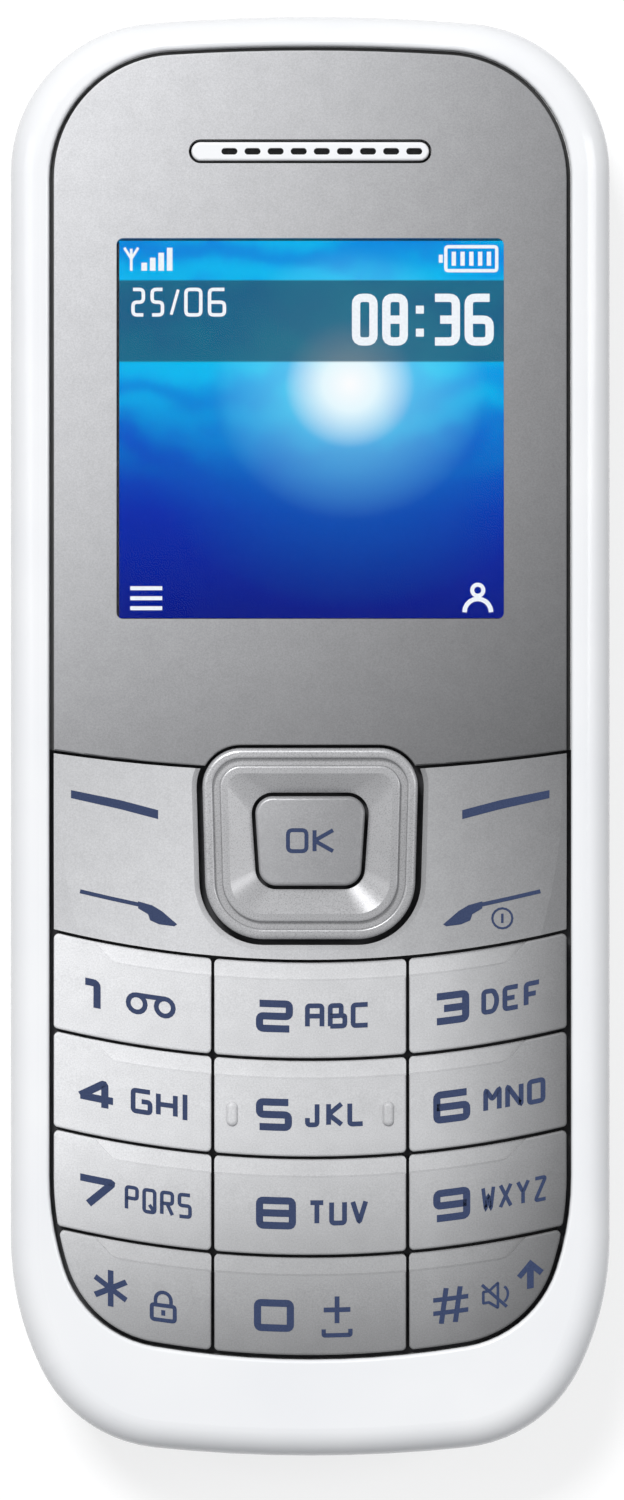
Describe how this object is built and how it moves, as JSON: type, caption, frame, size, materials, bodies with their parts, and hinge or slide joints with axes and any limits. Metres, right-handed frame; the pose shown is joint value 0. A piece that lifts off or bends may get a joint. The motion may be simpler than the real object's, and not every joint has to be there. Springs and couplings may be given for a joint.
{
  "type": "mobile phone",
  "caption": "Bar-shaped mobile phone with a small square colour display, a raised navigation key and a curved numeric keypad with overlapping rows.",
  "frame": {"origin": "middle of the outline on the flat back, the face that it lies on", "axes": "+Z out of the screen, +Y along the length towards the earpiece, +X to the right seen from the front"},
  "size_m": [0.045, 0.108, 0.0135],
  "materials": {
    "white_shell": "glossy white paint",
    "silver_panel": "fine metallic silver, satin",
    "clear_window": "clear, polished",
    "white_trim": "glossy white",
    "silver_keys": "silver paint with fine flakes, satin",
    "dark_mesh": "fine woven mesh",
    "adhesive": "thin adhesive sheet",
    "silicone": "milky silicone",
    "film": "thin clear film",
    "dome_steel": "bright sheet steel",
    "board": "solder resist",
    "shield_steel": "tinned sheet steel",
    "chip": "moulded",
    "module_frame": "moulded white",
    "display": "lit picture",
    "foam": "closed foam",
    "flex": "amber film",
    "black_plastic": "moulded",
    "battery_wrap": "printed wrap, no words",
    "contact_gold": "gold plated",
    "card": "card",
    "motor_steel": "drawn steel",
    "tungsten": "sintered heavy metal",
    "antenna_metal": "plated sheet",
    "screw_steel": "blackened"
  },
  "bodies": {
    "housing": {"front_housing": "white_shell", "rear_housing": "white_shell", "front_panel": "silver_panel", "display_window": "clear_window", "panel_adhesive": "adhesive", "earpiece_grille": "white_trim", "earpiece_mesh": "dark_mesh", "earpiece_receiver": "black_plastic", "keypad_mat": "silicone", "dome_film": "film", "key_domes": "dome_steel", "main_board": "board", "main_shield_can": "shield_steel", "radio_shield_can": "shield_steel", "board_chips": "chip", "display_frame": "module_frame", "display_backlight": "module_frame", "display_glass": "display", "display_gasket": "foam", "display_flex": "flex", "battery": "battery_wrap", "battery_connector": "black_plastic", "battery_contacts": "contact_gold", "sim_holder": "shield_steel", "loudspeaker": "black_plastic", "loudspeaker_gasket": "foam", "loudspeaker_mesh": "dark_mesh", "vibration_motor": "motor_steel", "motor_sleeve": "adhesive", "antenna_carrier": "black_plastic", "antenna": "antenna_metal", "socket_shell": "shield_steel", "socket_tongue": "black_plastic", "microphone": "shield_steel", "microphone_boot": "adhesive", "housing_screws": "screw_steel"},
    "battery_cover": {"battery_cover": "white_shell"},
    "sim_card": {"sim_card": "card"},
    "motor_weight": {"motor_weight": "tungsten"},
    "ok_key": {"ok_key": "silver_keys"},
    "navigation_tilt": {"navigation_pad": "silicone"},
    "navigation_ring": {"navigation_ring": "silver_keys"},
    "function_tilt": {"function_pad": "silicone"},
    "function_plate": {"function_plate": "silver_keys"},
    "key_1": {"key_1": "silver_keys"},
    "key_2": {"key_2": "silver_keys"},
    "key_3": {"key_3": "silver_keys"},
    "key_4": {"key_4": "silver_keys"},
    "key_5": {"key_5": "silver_keys"},
    "key_6": {"key_6": "silver_keys"},
    "key_7": {"key_7": "silver_keys"},
    "key_8": {"key_8": "silver_keys"},
    "key_9": {"key_9": "silver_keys"},
    "key_star": {"key_star": "silver_keys"},
    "key_0": {"key_0": "silver_keys"},
    "key_hash": {"key_hash": "silver_keys"}
  },
  "joints": [
    {"name": "key_1_press", "type": "slide", "parent": "housing", "child": "key_1", "axis": [0, 0, -1], "range_m": [0, 0.0003], "stiffness_N_per_m": 3000, "deforming": ["keypad_mat"]},
    {"name": "key_2_press", "type": "slide", "parent": "housing", "child": "key_2", "axis": [0, 0, -1], "range_m": [0, 0.0003], "stiffness_N_per_m": 3000, "deforming": ["keypad_mat"]},
    {"name": "key_3_press", "type": "slide", "parent": "housing", "child": "key_3", "axis": [0, 0, -1], "range_m": [0, 0.0003], "stiffness_N_per_m": 3000, "deforming": ["keypad_mat"]},
    {"name": "key_4_press", "type": "slide", "parent": "housing", "child": "key_4", "axis": [0, 0, -1], "range_m": [0, 0.0003], "stiffness_N_per_m": 3000, "deforming": ["keypad_mat"]},
    {"name": "key_5_press", "type": "slide", "parent": "housing", "child": "key_5", "axis": [0, 0, -1], "range_m": [0, 0.0003], "stiffness_N_per_m": 3000, "deforming": ["keypad_mat"]},
    {"name": "key_6_press", "type": "slide", "parent": "housing", "child": "key_6", "axis": [0, 0, -1], "range_m": [0, 0.0003], "stiffness_N_per_m": 3000, "deforming": ["keypad_mat"]},
    {"name": "key_7_press", "type": "slide", "parent": "housing", "child": "key_7", "axis": [0, 0, -1], "range_m": [0, 0.0003], "stiffness_N_per_m": 3000, "deforming": ["keypad_mat"]},
    {"name": "key_8_press", "type": "slide", "parent": "housing", "child": "key_8", "axis": [0, 0, -1], "range_m": [0, 0.0003], "stiffness_N_per_m": 3000, "deforming": ["keypad_mat"]},
    {"name": "key_9_press", "type": "slide", "parent": "housing", "child": "key_9", "axis": [0, 0, -1], "range_m": [0, 0.0003], "stiffness_N_per_m": 3000, "deforming": ["keypad_mat"]},
    {"name": "key_star_press", "type": "slide", "parent": "housing", "child": "key_star", "axis": [0, 0, -1], "range_m": [0, 0.0003], "stiffness_N_per_m": 3000, "deforming": ["keypad_mat"]},
    {"name": "key_0_press", "type": "slide", "parent": "housing", "child": "key_0", "axis": [0, 0, -1], "range_m": [0, 0.0003], "stiffness_N_per_m": 3000, "deforming": ["keypad_mat"]},
    {"name": "key_hash_press", "type": "slide", "parent": "housing", "child": "key_hash", "axis": [0, 0, -1], "range_m": [0, 0.0003], "stiffness_N_per_m": 3000, "deforming": ["keypad_mat"]},
    {"name": "ok_key_press", "type": "slide", "parent": "housing", "child": "ok_key", "axis": [0, 0, -1], "range_m": [0, 0.0003], "stiffness_N_per_m": 3000, "deforming": ["keypad_mat"]},
    {"name": "navigation_up_down", "type": "hinge", "parent": "housing", "child": "navigation_tilt", "pos_m": [0, -0.00804, 0.01145], "axis": [1, 0, 0], "range_deg": [-1.5, 1.5], "stiffness_Nm_per_rad": 0.3, "deforming": ["keypad_mat"]},
    {"name": "navigation_left_right", "type": "hinge", "parent": "navigation_tilt", "child": "navigation_ring", "pos_m": [0, -0.00804, 0.0118], "axis": [0, 1, 0], "range_deg": [-1.5, 1.5], "stiffness_Nm_per_rad": 0.3},
    {"name": "function_left_right", "type": "hinge", "parent": "housing", "child": "function_tilt", "pos_m": [0, -0.0089, 0.0114], "axis": [0, 1, 0], "range_deg": [-1.2, 1.2], "stiffness_Nm_per_rad": 1, "deforming": ["keypad_mat"]},
    {"name": "function_up_down", "type": "hinge", "parent": "function_tilt", "child": "function_plate", "pos_m": [0, -0.0089, 0.01175], "axis": [1, 0, 0], "range_deg": [-1.5, 1.5], "stiffness_Nm_per_rad": 0.2},
    {"name": "weight_spin", "type": "hinge", "parent": "housing", "child": "motor_weight", "pos_m": [-0.0148, 0.04, 0.0038], "axis": [0, 1, 0], "continuous": true},
    {"name": "cover_slide", "type": "slide", "parent": "housing", "child": "battery_cover", "axis": [0, -1, 0], "range_m": [0, 0.09]},
    {"name": "card_slide", "type": "slide", "parent": "housing", "child": "sim_card", "axis": [0, -1, 0], "range_m": [0, 0.0095]}
  ]
}
